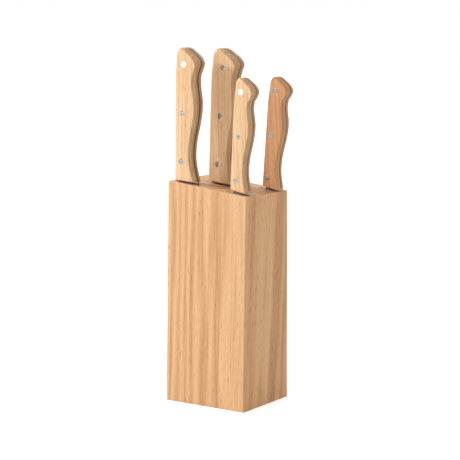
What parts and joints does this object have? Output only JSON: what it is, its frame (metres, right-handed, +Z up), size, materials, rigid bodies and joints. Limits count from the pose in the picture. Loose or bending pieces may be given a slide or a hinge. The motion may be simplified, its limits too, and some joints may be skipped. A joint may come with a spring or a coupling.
{
  "type": "knife block with knives",
  "caption": "Upright wooden knife block with a sloping top and slots in rows, holding large and small kitchen knives with riveted wooden handles that lift out.",
  "frame": {"origin": "on the block's flat underside, below the middle of the middle row of slots", "axes": "+Z up; +X along the wide face from the high end of the sloping top to the low end, the way the cutting edges face; +Y from the wide front face to the back"},
  "size_m": [0.1022, 0.0794, 0.3439],
  "materials": {
    "block_wood": "oiled satin hardwood, long grain upright",
    "core_wood": "oiled satin hardwood, end grain at the top",
    "handle_wood": "oiled satin hardwood, lightly rounded edges",
    "blade_steel": "satin ground stainless steel",
    "rivet_aluminium": "turned flush rivet heads"
  },
  "bodies": {
    "block": {"back_board": "block_wood", "back_inner_board": "core_wood", "back_left_spacer": "core_wood", "base_board": "core_wood", "carving_slot_floor": "core_wood", "chef_slot_floor": "core_wood", "front_board": "block_wood", "front_centre_spacer": "core_wood", "front_inner_board": "core_wood", "left_side_board": "block_wood", "middle_left_spacer": "core_wood", "middle_right_spacer": "core_wood", "paring_slot_floor": "core_wood", "right_side_board": "block_wood", "utility_slot_floor": "core_wood"},
    "carving_knife": {"carving_knife_back_scale": "handle_wood", "carving_knife_blade": "blade_steel", "carving_knife_front_scale": "handle_wood", "carving_knife_rivets": "rivet_aluminium"},
    "chef_knife": {"chef_knife_back_scale": "handle_wood", "chef_knife_blade": "blade_steel", "chef_knife_front_scale": "handle_wood", "chef_knife_rivets": "rivet_aluminium"},
    "utility_knife": {"utility_knife_back_scale": "handle_wood", "utility_knife_blade": "blade_steel", "utility_knife_front_scale": "handle_wood", "utility_knife_rivets": "rivet_aluminium"},
    "paring_knife": {"paring_knife_back_scale": "handle_wood", "paring_knife_blade": "blade_steel", "paring_knife_front_scale": "handle_wood", "paring_knife_rivets": "rivet_aluminium"}
  },
  "joints": [
    {"name": "carving_lift", "type": "slide", "parent": "block", "child": "carving_knife", "axis": [0.0175, 0, 0.9998], "range_m": [0, 0.205]},
    {"name": "chef_lift", "type": "slide", "parent": "block", "child": "chef_knife", "axis": [0.0384, 0, 0.9993], "range_m": [0, 0.205]},
    {"name": "utility_lift", "type": "slide", "parent": "block", "child": "utility_knife", "axis": [0.0523, 0, 0.9986], "range_m": [0, 0.135]},
    {"name": "paring_lift", "type": "slide", "parent": "block", "child": "paring_knife", "axis": [0.075, 0, 0.9972], "range_m": [0, 0.1]}
  ]
}
